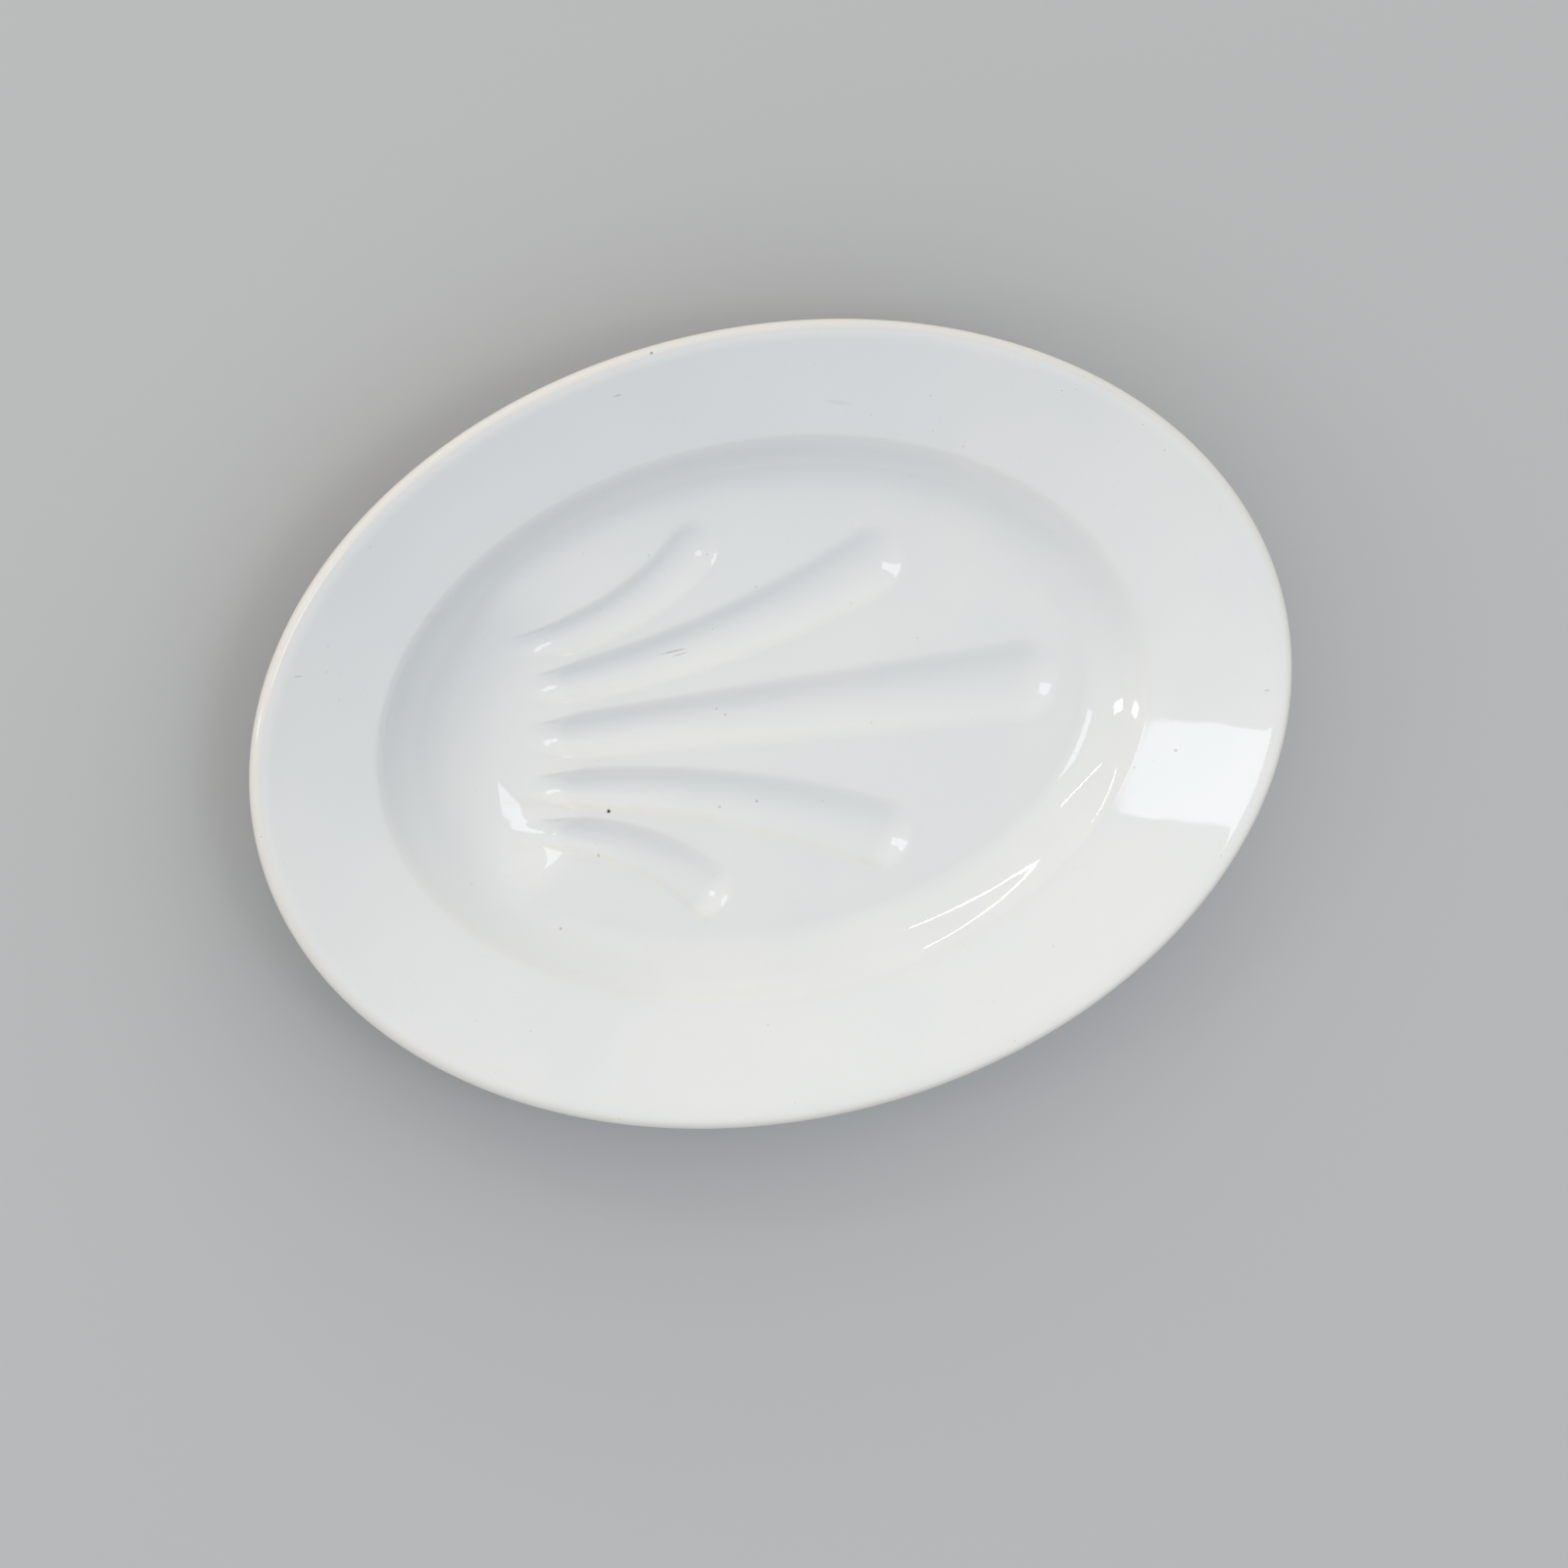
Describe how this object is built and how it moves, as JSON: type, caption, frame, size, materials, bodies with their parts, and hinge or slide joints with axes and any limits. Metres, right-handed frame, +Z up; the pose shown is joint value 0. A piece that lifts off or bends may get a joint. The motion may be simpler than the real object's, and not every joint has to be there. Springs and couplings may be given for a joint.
{
  "type": "meat platter",
  "caption": "Oval glazed earthenware meat platter with a broad plain brim, a moulded drainage tree and a gravy well.",
  "frame": {"origin": "centre of the overall box, in the plane of the foot that the platter stands on", "axes": "+X along the long axis, from the gravy well to the tips of the drainage tree; +Y across; +Z up, out of the dish"},
  "size_m": [0.5, 0.352, 0.0625],
  "materials": {
    "glazed_body": "glossy clear glaze over white-bodied earthenware"
  },
  "bodies": {
    "root": {"platter": "glazed_body"}
  },
  "joints": []
}
